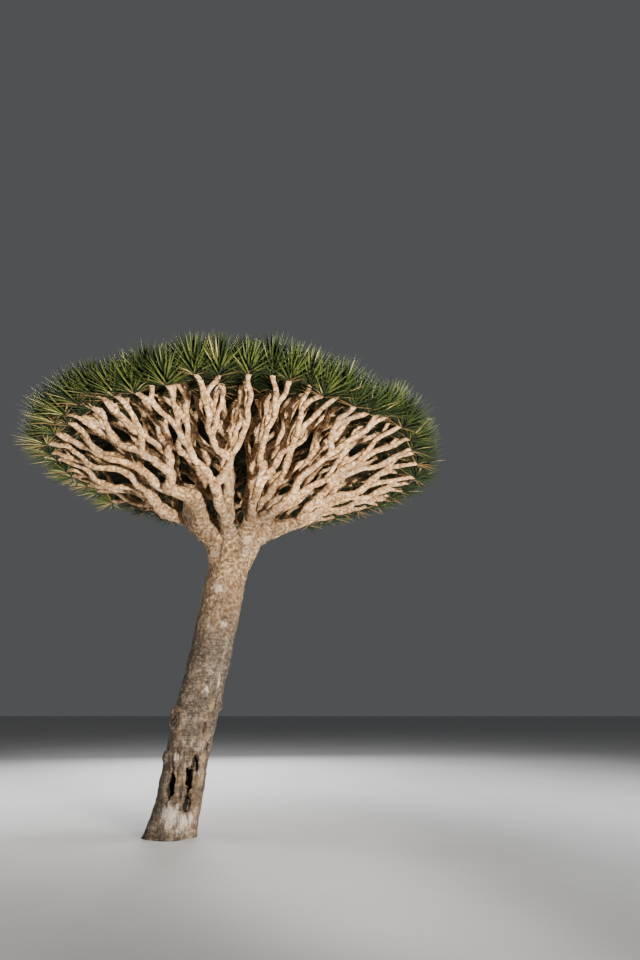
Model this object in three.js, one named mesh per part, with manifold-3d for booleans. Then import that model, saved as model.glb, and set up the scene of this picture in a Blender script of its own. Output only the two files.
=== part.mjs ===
// Dragon blood tree: a leaning trunk, a fan of forking boughs and an umbrella crown of sword leaves.
// Millimetres, +Z up. The origin is the middle of the flat cut at ground level.
import * as THREE from 'three';
import { mergeVertices } from 'three/addons/utils/BufferGeometryUtils.js';
import Module from 'manifold-3d';

const wasm = await Module();
wasm.setup();

// Driving dimensions of the trunk
const TRUNK_RADIUS = 268;
const TRUNK_TOP = 3440;
const FLARE_RADIUS = 48;
const FLARE_FADE = 190;
const FLARE_LOBES = 5;
const FLARE_SIDE = 3.5;
const HEAD_SWELL = 80;
const HEAD_START = 2950;
const SHOULDER_HEIGHT = 3300;
const SHOULDER_DRAW_IN = 0.4;
const TRUNK_SIDES = 20;
const TRUNK_HEIGHTS = [0, 70, 170, 340, 700, 1200, 1700, 2200, 2700, 3050, 3230, 3340, TRUNK_TOP];

// Driving dimensions of the crown, measured from the fork that every bough starts at
const FORK = new THREE.Vector3(560, 0, 3330);
const REACH_LEFT = 2500;
const REACH_RIGHT = 2600;
const REACH_DEPTH = 2750;
const CROWN_TOP = 5300;
const CROWN_TILT = -0.035;
const FIRST_FORK = 0.2;
const FORK_SPACING = 0.9;
const TUFT_PATCH = 62000;
const SPLIT_SWING = 0.12;
const SIDE_SWING = 50;

// Main boughs, each with the two azimuths in degrees that its sector of the crown lies between, and how far
// the rim lies below the crown's top at each of them
const MAIN_BOUGHS = [
  ['left', 147, 249, 880, 840],
  ['front', 249, 284, 840, 650],
  ['front_right', 284, 306, 650, 640],
  ['right', 306, 338, 640, 680],
  ['low_right', -22, 36, 680, 760],
  ['back_right', 36, 92, 760, 840],
  ['back_left', 92, 147, 840, 880],
];
const FIRST_KEY = 8;

// A patch of the crown with at most this many leaf tufts is one foliage mass
const MASS_TUFTS = 22;
// A spray in a mass stands for up to this many leaf tufts
const SPRAY_TUFTS = 6;

// Limb sizes
const TIP_RADIUS = 21;
const RADIUS_GAIN = 8.2;
const RADIUS_POWER = 0.68;
const HEAD_FOOT = 200;
const FORK_FOOT = 0.5;
const BOUGH_SIDES = 8;
const BOUGH_STATIONS = [0, 0.35, 0.7, 1];
const TWIG_SIDES = 3;
const SWELL_STATION = 0.9;
const FRAME_STEPS = 20;

// Leaves, larger than life, since each stands for a handful of real ones
const LEAF_LENGTH = 500;
const LEAF_WIDTH = 180;
const LEAF_THICKNESS = 30;
const LEAF_TRIES = 15;
const LEAVES_KEPT = 6;
const LEAF_WIDEST = 0.44;
const STEEPEST_LEAF = 8;
const FLATTEST_LEAF = 98;
const SHORTER_LEAVES = [1, 0.8, 0.64];
const SPACE_MARGIN = 8;
// Sprays stand a little beyond the middle of their patch, so that those of the rim reach it
const SPRAY_PLACE = 0.62;

// Least and most share of its radius that a limb is sunk into its parent
const LIMB_SUNK = [0.6, 0.9];
// A spray's leaves start near the middle of the swollen end of its twig
const END_SWELL = 84;
const END_POINT = 62;
const LEAF_ROOTS = [-26, 10];

const CLEARANCE = 0.4;
const GRID = 0.01;
const TURN = 2 * Math.PI;
const GOLDEN_TURN = TURN * 0.381966;
const UP = new THREE.Vector3(0, 0, 1);

const bark = { color: 0xb3a28b, roughness: 0.92, metalness: 0 };
const leafGreen = { color: 0x6f8546, roughness: 0.6, metalness: 0 };

// A number from 0 to 1 that is always the same for one limb and one purpose
function chance(key, purpose) {
  const wave = Math.sin(key * 127.1 + purpose * 311.7) * 43758.5453;
  return wave - Math.floor(wave);
}

function mix(a, b, share) {
  return a + (b - a) * share;
}

function rimDrop(azimuth) {
  const turned = (from) => THREE.MathUtils.euclideanModulo(THREE.MathUtils.radToDeg(azimuth) - from, 360);
  const [, from, to, first, last] = MAIN_BOUGHS.find((bough) => turned(bough[1]) <= bough[2] - bough[1]);
  return mix(first, last, turned(from) / (to - from));
}

// The crown is a shallow dome. A place on it is an azimuth and a share of the way out to the rim.
function crownPoint(azimuth, out) {
  const reach = Math.cos(azimuth) < 0 ? REACH_LEFT : REACH_RIGHT;
  const x = out * reach * Math.cos(azimuth);
  const y = out * REACH_DEPTH * Math.sin(azimuth);
  const z = CROWN_TOP - rimDrop(azimuth) * out * out + CROWN_TILT * x;
  return new THREE.Vector3(FORK.x + x, FORK.y + y, z);
}

// The azimuth and the share of the way out at which the ray from the fork through a point meets the dome
function crownPlace(point) {
  const x = point.x - FORK.x;
  const y = (point.y - FORK.y) / REACH_DEPTH;
  const across = x / (x < 0 ? REACH_LEFT : REACH_RIGHT);
  const high = point.z - FORK.z - CROWN_TILT * x;
  const top = CROWN_TOP - FORK.z;
  const azimuth = Math.atan2(y, across);
  const flat = Math.hypot(across, y);
  const scale = (high + Math.sqrt(high * high + 4 * top * rimDrop(azimuth) * flat * flat)) / (2 * top);
  return { azimuth, out: flat / scale };
}

function tuftsOf(patch) {
  const ring = (patch.outer ** 2 - patch.inner ** 2) / 2;
  return ring * (patch.end - patch.start) * REACH_DEPTH * (REACH_LEFT + REACH_RIGHT) / 2 / TUFT_PATCH;
}

function middleOf(patch) {
  return Math.sqrt((patch.inner ** 2 + patch.outer ** 2) / 2);
}

// A patch is halved across its longer side, a little off its middle
function halves(patch, key) {
  const cut = 0.5 + SPLIT_SWING * (2 * chance(key, 1) - 1);
  const width = middleOf(patch) * (patch.end - patch.start);
  if (width > (patch.outer - patch.inner) * 1.1) {
    const azimuth = mix(patch.start, patch.end, cut);
    return [{ ...patch, end: azimuth }, { ...patch, start: azimuth }];
  }
  const out = Math.sqrt(mix(patch.inner ** 2, patch.outer ** 2, cut));
  return [{ ...patch, outer: out }, { ...patch, inner: out }];
}

// Where the limb that feeds a patch ends: the fewer tufts it feeds, the nearer it comes to the dome
function limbEnd(patch, key) {
  const forked = 1 - Math.log2(tuftsOf(patch)) / patch.forks;
  const rise = FIRST_FORK + (1 - FIRST_FORK) * forked ** FORK_SPACING;
  const aim = crownPoint((patch.start + patch.end) / 2, middleOf(patch)).sub(FORK);
  const side = aim.clone().cross(UP).normalize();
  const swing = SIDE_SWING * (2 * chance(key, 2) - 1);
  return FORK.clone().addScaledVector(aim, rise).addScaledVector(side, swing);
}

// The last twigs of a mass end on the dome
function sprayPlace(patch) {
  const out = Math.sqrt(mix(patch.inner ** 2, patch.outer ** 2, SPRAY_PLACE));
  return crownPoint((patch.start + patch.end) / 2, out);
}

function limbRadius(tufts) {
  return TIP_RADIUS + RADIUS_GAIN * Math.max(tufts, 1) ** RADIUS_POWER;
}

// A limb leaves its fork in its parent's direction and bends towards its own end
function limbCurve(start, end, heading) {
  const bend = start.clone().addScaledVector(heading, start.distanceTo(end) * 0.38);
  return new THREE.QuadraticBezierCurve3(start, bend, end);
}

// A closed mesh becomes a solid that can be joined and cut. Its vertices lie on a fine grid, so that
// vertices that all but touch fall together, and faces that have shrunk to a line are dropped.
function solid(geometry) {
  geometry.deleteAttribute('normal');
  geometry.deleteAttribute('uv');
  const snapped = geometry.attributes.position.array.map((value) => Math.round(value / GRID) * GRID);
  geometry.setAttribute('position', new THREE.BufferAttribute(Float32Array.from(snapped), 3));
  const merged = mergeVertices(geometry, GRID);
  const corners = merged.index.array;
  const faces = [];
  for (let i = 0; i < corners.length; i += 3) {
    const [a, b, c] = corners.slice(i, i + 3);
    if (a !== b && b !== c && c !== a) {
      faces.push(a, b, c);
    }
  }
  return new wasm.Manifold(new wasm.Mesh({
    numProp: 3,
    vertProperties: Float32Array.from(merged.attributes.position.array),
    triVerts: Uint32Array.from(faces),
  }));
}

// A cylinder bent along a curve, with a ring at each station from 0 to 1. Its start is sunk back into
// what it grows from, and its tip may be pushed out to a point. Grown by the clearance, it is the space
// that a neighbour keeps out of.
function tube(curve, radiusAt, sides, stations, key, { grow = 0, point = 0 } = {}) {
  const sunk = mix(...LIMB_SUNK, chance(key, 5));
  const rings = stations.length - 1;
  const geometry = new THREE.CylinderGeometry(1, 1, 1, sides, rings);
  const frames = curve.computeFrenetFrames(FRAME_STEPS, false);
  const position = geometry.attributes.position;
  const place = new THREE.Vector3();
  for (let i = 0; i < position.count; i++) {
    const ring = Math.round((position.getY(i) + 0.5) * rings);
    const share = stations[ring];
    const frame = Math.round(share * FRAME_STEPS);
    const middle = Math.hypot(position.getX(i), position.getZ(i)) < 0.5;
    const radius = radiusAt(share) + grow;
    let past = ring === 0 ? -grow - sunk * radius : 0;
    if (ring === rings) {
      past = middle ? grow + point : grow;
    }
    curve.getPointAt(share, place);
    place.addScaledVector(frames.tangents[frame], past);
    place.addScaledVector(frames.binormals[frame], position.getX(i) * radius);
    place.addScaledVector(frames.normals[frame], position.getZ(i) * radius);
    position.setXYZ(i, place.x, place.y, place.z);
  }
  return solid(geometry);
}

// The largest piece of a cut solid, without loose scraps or sealed hollows
function mainPiece(body) {
  const pieces = body.decompose();
  pieces.sort((a, b) => b.volume() - a.volume());
  return pieces[0];
}

function geometryOf(body) {
  const shape = body.getMesh();
  const geometry = new THREE.BufferGeometry();
  geometry.setAttribute('position', new THREE.BufferAttribute(Float32Array.from(shape.vertProperties), 3));
  geometry.setIndex(new THREE.BufferAttribute(Uint32Array.from(shape.triVerts), 1));
  return geometry;
}

// Rounding can pinch a sliver off a joined solid, so it is parted again until its faces stay the same
function settled(body) {
  let kept = body;
  let faces;
  do {
    faces = kept.numTri();
    kept = mainPiece(solid(geometryOf(kept)));
  } while (kept.numTri() !== faces);
  return kept;
}

function mesh(body, name, look) {
  const geometry = geometryOf(settled(body));
  geometry.computeVertexNormals();
  const piece = new THREE.Mesh(geometry, new THREE.MeshStandardMaterial(look));
  piece.name = name;
  return piece;
}

// The trunk leans and bends a little, with level sections from the cut at the ground to the fork
const trunkLine = new THREE.CatmullRomCurve3([
  new THREE.Vector3(0, 0, 0),
  new THREE.Vector3(141, 0, 1075),
  new THREE.Vector3(336, 0, 2110),
  new THREE.Vector3(520, 0, 3236),
  new THREE.Vector3(570, 0, TRUNK_TOP),
]);

function trunkAxis(height) {
  let low = 0;
  let high = 1;
  for (let i = 0; i < 24; i++) {
    const middle = (low + high) / 2;
    if (trunkLine.getPoint(middle).z < height) {
      low = middle;
    } else {
      high = middle;
    }
  }
  return trunkLine.getPoint(low);
}

function trunkRadius(height, angle) {
  const flare = Math.exp(-height / FLARE_FADE);
  const lobes = 1 + 0.85 * Math.cos(angle - FLARE_SIDE) + 0.3 * Math.cos(FLARE_LOBES * angle + 0.8);
  const head = Math.max(0, (height - HEAD_START) / (TRUNK_TOP - HEAD_START));
  const shoulder = Math.max(0, (height - SHOULDER_HEIGHT) / (TRUNK_TOP - SHOULDER_HEIGHT));
  const radius = TRUNK_RADIUS + FLARE_RADIUS * flare * lobes + HEAD_SWELL * head ** 1.5;
  return radius * (1 - SHOULDER_DRAW_IN * shoulder ** 2);
}

function trunkBody(grow = 0) {
  const rings = TRUNK_HEIGHTS.length - 1;
  const geometry = new THREE.CylinderGeometry(1, 1, 1, TRUNK_SIDES, rings);
  const position = geometry.attributes.position;
  for (let i = 0; i < position.count; i++) {
    const ring = Math.round((position.getY(i) + 0.5) * rings);
    const height = TRUNK_HEIGHTS[ring];
    const angle = Math.atan2(-position.getZ(i), position.getX(i));
    const radius = (trunkRadius(height, angle) + grow) * Math.hypot(position.getX(i), position.getZ(i));
    const axis = trunkAxis(height);
    const x = axis.x + radius * Math.cos(angle);
    const y = axis.y + radius * Math.sin(angle);
    position.setXYZ(i, x, y, ring === rings ? height + grow : height);
  }
  return solid(geometry);
}

// Rotted hollows in the trunk's bark: azimuth in degrees, height, width, tall and deep
const HOLLOWS = [
  [247, 560, 110, 260, 110],
  [296, 640, 85, 270, 130],
  [307, 803, 90, 175, 110],
  [303, 371, 85, 200, 100],
  [313, 1187, 50, 160, 70],
  [339, 975, 60, 130, 60],
];

function hollow([degrees, height, width, tall, deep]) {
  const angle = THREE.MathUtils.degToRad(degrees);
  const axis = trunkAxis(height);
  const radius = trunkRadius(height, angle);
  const geometry = new THREE.IcosahedronGeometry(0.5, 1);
  geometry.scale(deep * 2, width, tall);
  geometry.rotateZ(angle);
  geometry.translate(axis.x + radius * Math.cos(angle), axis.y + radius * Math.sin(angle), height);
  return solid(geometry);
}

function trunk() {
  return mainPiece(wasm.Manifold.difference([trunkBody(), ...HOLLOWS.map(hollow)]));
}

// A leaf is a long diamond with a keel under it, pointed at its root and its tip
const leafProfile = [new THREE.Vector2(0, 0), new THREE.Vector2(1, LEAF_WIDEST), new THREE.Vector2(0, 1)];
const KEEL_SIDES = 3;

function leaf(root, direction, face, length) {
  const across = face.clone().cross(direction).normalize();
  const under = across.clone().cross(direction);
  const geometry = new THREE.LatheGeometry(leafProfile, KEEL_SIDES);
  const position = geometry.attributes.position;
  for (let i = 0; i < position.count; i++) {
    const point = root.clone().addScaledVector(direction, position.getY(i) * length);
    point.addScaledVector(across, position.getX(i) / Math.sin(TURN / KEEL_SIDES) * LEAF_WIDTH / 2);
    point.addScaledVector(under, position.getZ(i) * LEAF_THICKNESS / 1.5);
    position.setXYZ(i, point.x, point.y, point.z);
  }
  return solid(geometry);
}

// True where a point keeps inside a mass's own space, which widens upwards from the fork
function inSpace(point, space) {
  const place = crownPlace(point);
  const middle = (space.start + space.end) / 2;
  const turned = place.azimuth - middle - TURN * Math.round((place.azimuth - middle) / TURN);
  const distance = Math.hypot(point.x - FORK.x, point.y - FORK.y);
  const halfTurn = (space.end - space.start) / 2 - SPACE_MARGIN / distance;
  const outMargin = SPACE_MARGIN / REACH_LEFT;
  const inside = space.inner === 0 || place.out > space.inner + outMargin;
  const outside = space.outer === 1 || place.out < space.outer - outMargin;
  return Math.abs(turned) < halfTurn && inside && outside;
}

function leafFits(root, direction, face, length, space) {
  const across = face.clone().cross(direction).normalize();
  for (const share of [LEAF_WIDEST / 2, LEAF_WIDEST, 0.6, 0.8, 1]) {
    const half = LEAF_WIDTH / 2 * Math.min(share / LEAF_WIDEST, (1 - share) / (1 - LEAF_WIDEST));
    for (const side of [-half, half]) {
      const point = root.clone().addScaledVector(direction, share * length).addScaledVector(across, side);
      if (!inSpace(point, space)) {
        return false;
      }
    }
  }
  return true;
}

// Leaves stand out of a twig's end to all sides. One that would leave the mass's space is tried shorter
// and then skipped.
function spray(end, key, space) {
  const out = end.clone().sub(FORK).normalize();
  const axis = out.clone().addScaledVector(UP, 0.5).normalize();
  const side = axis.clone().cross(UP).normalize();
  const front = axis.clone().cross(side);
  const leaves = [];
  for (let i = 0; i < LEAF_TRIES && leaves.length < LEAVES_KEPT; i++) {
    const lean = THREE.MathUtils.degToRad(mix(STEEPEST_LEAF, FLATTEST_LEAF, chance(key, 20 + i)));
    const turn = i * GOLDEN_TURN + TURN * chance(key, 3);
    const spread = side.clone().multiplyScalar(Math.cos(turn)).addScaledVector(front, Math.sin(turn));
    const direction = axis.clone().multiplyScalar(Math.cos(lean)).addScaledVector(spread, Math.sin(lean));
    const face = axis.clone().addScaledVector(spread, -0.3).normalize();
    const root = end.clone().addScaledVector(out, mix(...LEAF_ROOTS, chance(key, 40 + i)));
    const length = SHORTER_LEAVES.map((share) => share * LEAF_LENGTH).find(
      (tried) => leafFits(root, direction, face, tried, space));
    if (length) {
      leaves.push(leaf(root, direction, face, length));
    }
  }
  return leaves;
}

// Each line of twigs runs on through the first half of every patch to its own spray, and the other
// halves start new lines at the forks.
function twigLines(patch, key, start, heading, space) {
  const points = [start, start.clone().addScaledVector(heading, limbRadius(tuftsOf(patch)))];
  const thick = limbRadius(tuftsOf(patch));
  const parts = [];
  let part = patch;
  let partKey = key;
  while (tuftsOf(part) > SPRAY_TUFTS) {
    const fork = limbEnd(part, partKey);
    const onwards = fork.clone().sub(points.at(-1)).normalize();
    const [first, second] = halves(part, partKey);
    points.push(fork);
    parts.push(...twigLines(second, partKey * 2 + 1, fork, onwards, space));
    part = first;
    partKey *= 2;
  }
  const end = sprayPlace(part);
  points.push(end);
  const thin = limbRadius(tuftsOf(part));
  const radiusAt = (share) => (share === 1 ? END_SWELL : mix(thick * 1.1, thin * 0.95, share));
  const forks = points.length - 3;
  const stations = forks > 0 ? [0, 0.45, SWELL_STATION, 1] : [0, SWELL_STATION, 1];
  const curve = new THREE.CatmullRomCurve3(points);
  parts.push(tube(curve, radiusAt, TWIG_SIDES, stations, key, { point: END_POINT }));
  parts.push(...spray(end, partKey, space));
  return parts;
}

const tree = new THREE.Group();
const limbs = [];

function clearOfLimbs(body) {
  let cut = body;
  for (const limb of limbs) {
    if (cut.intersect(limb).volume() > 0) {
      cut = cut.subtract(limb);
    }
  }
  return mainPiece(cut);
}

// Two limbs that leave one fork are parted by the plane between them
function partingSide(body, { point, normal }) {
  return body.trimByPlane([normal.x, normal.y, normal.z], normal.dot(point) + CLEARANCE / 2);
}

function addBough({ patch, key, name, start, heading, parting, sector }) {
  const tufts = tuftsOf(patch);
  const end = limbEnd(patch, key);
  const curve = limbCurve(start, end, heading);
  const thick = limbRadius(tufts);
  const foot = start === FORK ? HEAD_FOOT : FORK_FOOT * thick;
  const radiusAt = (share) => Math.hypot(mix(thick * 1.1, thick * 0.88, share), foot * (1 - share) ** 2);
  let body = tube(curve, radiusAt, BOUGH_SIDES, BOUGH_STATIONS, key);
  for (const cut of [...parting, ...sector]) {
    body = partingSide(body, cut);
  }
  tree.add(mesh(clearOfLimbs(body), `bough_${name}`, bark));
  limbs.push(tube(curve, radiusAt, BOUGH_SIDES, BOUGH_STATIONS, key, { grow: CLEARANCE }));
  const parts = halves(patch, key);
  const aims = parts.map((half, index) => limbEnd(half, key * 2 + index).sub(end).normalize());
  parts.forEach((half, index) => {
    const next = {
      patch: half,
      key: key * 2 + index,
      name: `${name}_${'ab'[index]}`,
      start: end,
      heading: curve.getTangentAt(1),
      parting: [{ point: end, normal: aims[index].clone().sub(aims[1 - index]).normalize() }],
      sector,
    };
    if (tuftsOf(half) > MASS_TUFTS) {
      addBough(next);
    } else {
      masses.push(next);
    }
  });
}

function addMass({ patch, key, name, start, heading, parting, sector }) {
  let body = wasm.Manifold.union(twigLines(patch, key, start, heading, patch));
  for (const cut of [...parting, ...sector]) {
    body = partingSide(body, cut);
  }
  tree.add(mesh(clearOfLimbs(body), `foliage_${name}`, leafGreen));
}

const masses = [];
tree.add(mesh(trunk(), 'trunk', bark));
limbs.push(trunkBody(CLEARANCE));

// The upright planes through the fork that part one main bough's sector from the next
function sectorSides(start, end) {
  const edge = (azimuth) => crownPoint(azimuth, 1).sub(FORK).setZ(0);
  const low = edge(start).cross(UP).negate().normalize();
  const high = edge(end).cross(UP).normalize();
  return [{ point: FORK, normal: low }, { point: FORK, normal: high }];
}

MAIN_BOUGHS.forEach(([name, from, to], index) => {
  const patch = {
    start: THREE.MathUtils.degToRad(from),
    end: THREE.MathUtils.degToRad(to),
    inner: 0,
    outer: 1,
  };
  patch.forks = Math.log2(tuftsOf(patch));
  const key = FIRST_KEY + index;
  const heading = limbEnd(patch, key).sub(FORK).normalize().addScaledVector(UP, 0.7).normalize();
  const sector = sectorSides(patch.start, patch.end);
  addBough({ patch, key, name, start: FORK, heading, parting: [], sector });
});
masses.forEach(addMass);

export default tree;
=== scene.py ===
import math
from dataclasses import dataclass, replace

import bmesh
import bpy
import numpy as np
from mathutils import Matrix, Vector, noise


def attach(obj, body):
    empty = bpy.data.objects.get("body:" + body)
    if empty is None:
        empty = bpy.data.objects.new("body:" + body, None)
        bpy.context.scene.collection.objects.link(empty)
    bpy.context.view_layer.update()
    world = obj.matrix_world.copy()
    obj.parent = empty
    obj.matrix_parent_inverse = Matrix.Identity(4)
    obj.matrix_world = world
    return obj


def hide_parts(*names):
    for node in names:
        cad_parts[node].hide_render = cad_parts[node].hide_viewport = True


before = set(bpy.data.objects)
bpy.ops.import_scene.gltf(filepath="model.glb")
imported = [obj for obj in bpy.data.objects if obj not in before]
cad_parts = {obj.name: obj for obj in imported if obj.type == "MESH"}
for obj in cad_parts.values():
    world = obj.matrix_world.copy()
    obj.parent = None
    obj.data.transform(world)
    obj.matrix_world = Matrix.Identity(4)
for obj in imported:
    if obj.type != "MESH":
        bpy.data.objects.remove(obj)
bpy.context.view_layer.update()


# Driving dimensions of the trunk, as in the source
TRUNK_RADIUS = 0.268
TRUNK_TOP = 3.44
# The flare at the ground is wider towards one side, given as an angle, and has lobes all round
FLARE_RADIUS = 0.048
FLARE_FADE = 0.19
FLARE_SIDE = 3.5
FLARE_SIDE_SHARE = 0.85
FLARE_LOBES = 5
FLARE_LOBE_SHARE = 0.3
FLARE_LOBE_TURN = 0.8
HEAD_START = 2.95
HEAD_SWELL = 0.08
HEAD_POWER = 1.5
SHOULDER_HEIGHT = 3.3
SHOULDER_DRAW_IN = 0.4
# Heights that the trunk's middle passes, and how far along X it is there
TRUNK_HEIGHTS = [0, 1.075, 2.110, 3.236, TRUNK_TOP]
TRUNK_LEAN = [0, 0.141, 0.336, 0.520, 0.570]
# Rotted hollows in the trunk: azimuth in degrees, height, width, tall and deep
HOLLOWS = [
    (247, 0.560, 0.110, 0.260, 0.11),
    (296, 0.640, 0.085, 0.270, 0.13),
    (307, 0.803, 0.090, 0.175, 0.11),
    (303, 0.371, 0.085, 0.200, 0.10),
    (313, 1.187, 0.050, 0.160, 0.07),
    (339, 0.975, 0.060, 0.130, 0.06),
]

# Driving dimensions of the crown, as in the source
FORK = np.array([0.56, 0, 3.33])
REACH_LEFT = 2.5
REACH_RIGHT = 2.6
REACH_DEPTH = 2.75
CROWN_TOP = 5.3
CROWN_TILT = -0.035
FIRST_FORK = 0.2
FORK_SPACING = 0.9
TUFT_PATCH = 0.062
# A patch that is longer round the crown than outwards by this factor is cut across, and a shorter one along
LONG_PATCH = 1.1
SPLIT_SWING = 0.12
SIDE_SWING = 0.05
# Main boughs: name, the azimuths that its sector lies between, and how far the rim lies below the top at each
MAIN_BOUGHS = [
    ("left", 147, 249, 0.88, 0.84),
    ("front", 249, 284, 0.84, 0.65),
    ("front_right", 284, 306, 0.65, 0.64),
    ("right", 306, 338, 0.64, 0.68),
    ("low_right", -22, 36, 0.68, 0.76),
    ("back_right", 36, 92, 0.76, 0.84),
    ("back_left", 92, 147, 0.84, 0.88),
]
SECTORS = [bough[0] for bough in MAIN_BOUGHS]
FIRST_KEY = 8
TIP_RADIUS = 0.021
RADIUS_GAIN = 0.0082
RADIUS_POWER = 0.68
TUFT_PLACE = 0.62
# The share of its length for which a limb keeps its parent's direction
LIMB_BEND = 0.38

# Finer growth than the source's, with narrower feet for the limbs, as their skin melts together at each fork
HEAD_FOOT = 0.09
FORK_FOOT = 0.5
LIMB_TAPER = (1.1, 0.88)
# A limb for more tufts than this has the source's bend. A finer one turns outwards as well, over the last
# share of its length.
BOUGH_TUFTS = 22
END_BEND = 0.32
OUTWARDS = 0.9
# Limbs for at least this many tufts are melted into one skin with the trunk
FUSED_TUFTS = 4.5
# A limb for no more tufts than this isn't forked again and bears a rosette
LAST_TUFTS = 1.4
TUFT_LIFT = 0.07
# How much a rosette's axis follows its limb, the way out from the fork and the upright
AXIS_ALONG = 0.15
AXIS_OUTWARDS = 0.3
AXIS_UPRIGHT = 0.75
LIMB_STEP = 0.06
FEWEST_STEPS = 3
WAVER = 0.019
WAVER_SPACING = 0.46
SLOWER_WAVER = 0.8
KNOBS = 0.10
KNOB_SPACING = 0.21
# How steeply each main bough leaves the trunk's head
BOUGH_LIFTS = {"left": 0.45, "front": 1.0, "front_right": 1.3, "right": 0, "low_right": 0}
BACK_LIFT = 0.7
# Limbs that have grown together: their two keys, and for which share of their length
GROWN_TOGETHER = [(16, 17, 1), (33, 35, 0.5), (9, 10, 0.7)]

UP = np.array([0, 0, 1])
TURN = 2 * math.pi
GOLDEN_TURN = TURN * 0.381966

# Purposes of chance. The first three have the source's numbers.
SPLIT = 1
SHIFT = 2
FIRST_LEAF = 3
WAVER_SIDEWAYS = 6
WAVER_UPWARDS = 7
FIRST_KNOB = 8
TUFT_HEIGHT = 9
LIGHTNESS = 11
ROSETTE_SIZE = 12
# The wave that chance comes from, as in the source
KEY_STEP = 127.1
PURPOSE_STEP = 311.7
WAVE_HEIGHT = 43758.5453


def chance(key, purpose):
    """A number from 0 to 1 that is always the same for one limb and one purpose."""
    wave = math.sin(key * KEY_STEP + purpose * PURPOSE_STEP) * WAVE_HEIGHT
    return wave - math.floor(wave)


def swing_of(key, purpose):
    """A chance from -1 to 1."""
    return 2 * chance(key, purpose) - 1


def mix(a, b, share):
    return a + (b - a) * share


def unit(vector):
    return vector / np.linalg.norm(vector)


def ease(values, low, high):
    """0 below low, 1 above high, and smooth between."""
    share = np.clip((values - low) / (high - low), 0, 1)
    return share * share * (3 - 2 * share)


def bent_line(share, start, bend, end):
    """A curve from start to end that sets out towards bend."""
    return (1 - share) ** 2 * start + 2 * share * (1 - share) * bend + share**2 * end


# The rule of growth


@dataclass
class Patch:
    """A part of the crown, between two azimuths and two shares of the way out to the rim."""

    start: float
    end: float
    inner: float = 0
    outer: float = 1
    forks: float = 0

    def tufts(self):
        ring = (self.outer**2 - self.inner**2) / 2
        depth = REACH_DEPTH * (REACH_LEFT + REACH_RIGHT) / 2
        return ring * (self.end - self.start) * depth / TUFT_PATCH

    def place(self, share):
        out = math.sqrt(mix(self.inner**2, self.outer**2, share))
        return crown_point((self.start + self.end) / 2, out)

    def halves(self, key):
        cut = 0.5 + SPLIT_SWING * swing_of(key, SPLIT)
        middle = math.sqrt((self.inner**2 + self.outer**2) / 2)
        if middle * (self.end - self.start) > (self.outer - self.inner) * LONG_PATCH:
            azimuth = mix(self.start, self.end, cut)
            return replace(self, end=azimuth), replace(self, start=azimuth)
        out = math.sqrt(mix(self.inner**2, self.outer**2, cut))
        return replace(self, outer=out), replace(self, inner=out)


def rim_drop(azimuth):
    """How far the rim lies below the crown's top at an azimuth."""
    for _, start, end, first, last in MAIN_BOUGHS:
        turned = (math.degrees(azimuth) - start) % 360
        if turned <= end - start:
            return mix(first, last, turned / (end - start))


def crown_point(azimuth, out):
    reach = REACH_LEFT if math.cos(azimuth) < 0 else REACH_RIGHT
    x = out * reach * math.cos(azimuth)
    y = out * REACH_DEPTH * math.sin(azimuth)
    z = CROWN_TOP - rim_drop(azimuth) * out**2 + CROWN_TILT * x
    return np.array([FORK[0] + x, FORK[1] + y, z])


def limb_end(patch, key):
    """Where the limb that feeds a patch ends: the fewer tufts it feeds, the nearer it comes to the dome."""
    forked = 1 - math.log2(patch.tufts()) / patch.forks
    rise = FIRST_FORK + (1 - FIRST_FORK) * forked**FORK_SPACING
    aim = patch.place(0.5) - FORK
    side = unit(np.cross(aim, UP))
    return FORK + aim * rise + side * SIDE_SWING * swing_of(key, SHIFT)


def limb_radius(tufts):
    return TIP_RADIUS + RADIUS_GAIN * max(tufts, 1) ** RADIUS_POWER


@dataclass
class Limb:
    """The tufts are how many it feeds. Its line and radii have a row for each ring of its tube."""

    sector: str
    tufts: float
    key: int
    line: np.ndarray
    radii: np.ndarray


@dataclass
class Rosette:
    """A rosette of leaves at a limb's end. out is the share of the way to the rim that its patch reaches."""

    sector: str
    key: int
    end: np.ndarray
    axis: np.ndarray
    out: float


limbs = []
rosettes = []


def limb_line(start, end, heading, tufts, share):
    """A limb leaves its fork in its parent's direction and bends towards its own end. A fine one then turns
    outwards as well. Returns the line and the direction that it ends in."""
    length = np.linalg.norm(end - start)
    bend = start + heading * length * LIMB_BEND
    if tufts > BOUGH_TUFTS:
        return bent_line(share, start, bend, end), unit(end - bend)
    onwards = unit(unit(end - start) + OUTWARDS * unit(end - FORK))
    turn = end - onwards * length * END_BEND
    line = (1 - share) ** 3 * start + 3 * share * (1 - share) ** 2 * bend
    return line + 3 * share**2 * (1 - share) * turn + share**3 * end, onwards


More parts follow.
